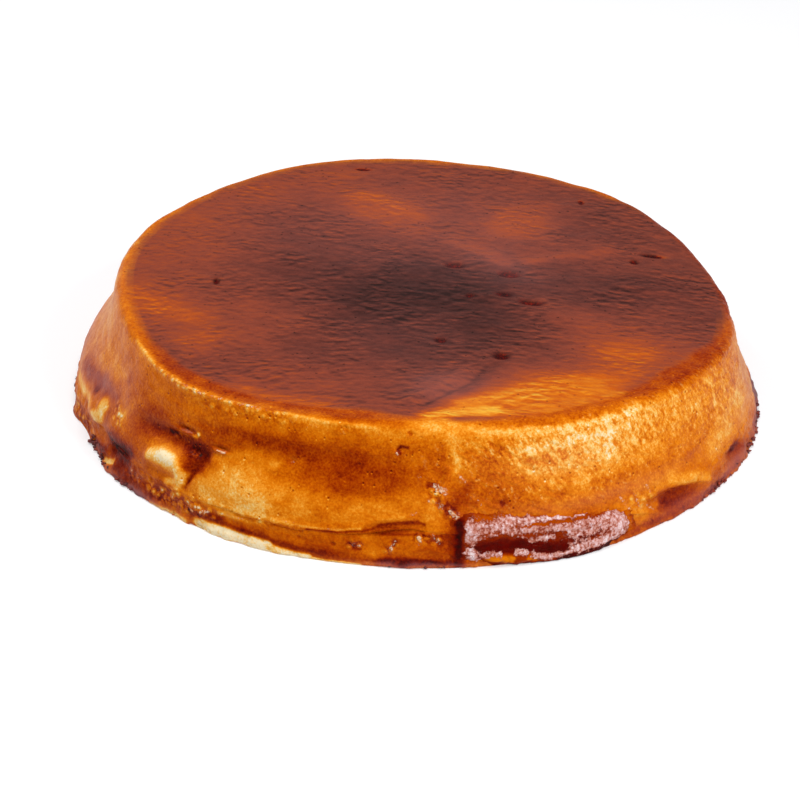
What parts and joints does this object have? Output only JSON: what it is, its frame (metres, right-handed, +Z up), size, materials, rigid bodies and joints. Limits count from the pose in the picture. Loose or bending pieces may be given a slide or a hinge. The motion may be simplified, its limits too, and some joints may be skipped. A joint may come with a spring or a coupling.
{
  "type": "biscuit cake",
  "caption": "Low round caramel custard cake on a soaked biscuit layer, turned out whole, with a sloping glossy side and a soft uneven rim.",
  "frame": {"origin": "the middle of the cake's box, on the surface it stands on", "axes": "+Z up, -Y towards the front of the cake, +X to the right seen from the front"},
  "size_m": [0.2396, 0.2434, 0.0438],
  "materials": {
    "custard": "baked custard soaked in dark caramel: smooth, moist and glossy, near black in the middle of the top, amber on the side",
    "biscuit_base": "soaked biscuit: orange brown, moist, crumbly at the foot, with one pale strip"
  },
  "bodies": {
    "root": {"custard": "custard", "biscuit_base": "biscuit_base"}
  },
  "joints": []
}
